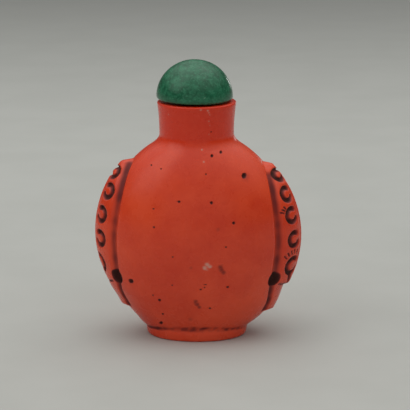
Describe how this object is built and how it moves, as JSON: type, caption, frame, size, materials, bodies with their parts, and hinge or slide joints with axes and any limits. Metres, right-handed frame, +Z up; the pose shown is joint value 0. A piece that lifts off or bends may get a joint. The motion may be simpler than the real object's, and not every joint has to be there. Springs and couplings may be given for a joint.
{
  "type": "snuff bottle",
  "caption": "Flattened round snuff bottle with cylindrical neck, oval foot, raised beast-mask panels with a mane of curls on its narrow sides, and a domed stopper.",
  "frame": {"origin": "on the floor under the middle of the bottle", "axes": "+Z up along the neck, +X to the right along the width over the two masks, -Y out of the front face"},
  "size_m": [0.0477, 0.029, 0.0646],
  "materials": {
    "coral_stone": "polished, semi-gloss, dirt in the carving",
    "green_stone": "polished, mottled"
  },
  "bodies": {
    "root": {"bottle": "coral_stone", "stopper": "green_stone"}
  },
  "joints": []
}
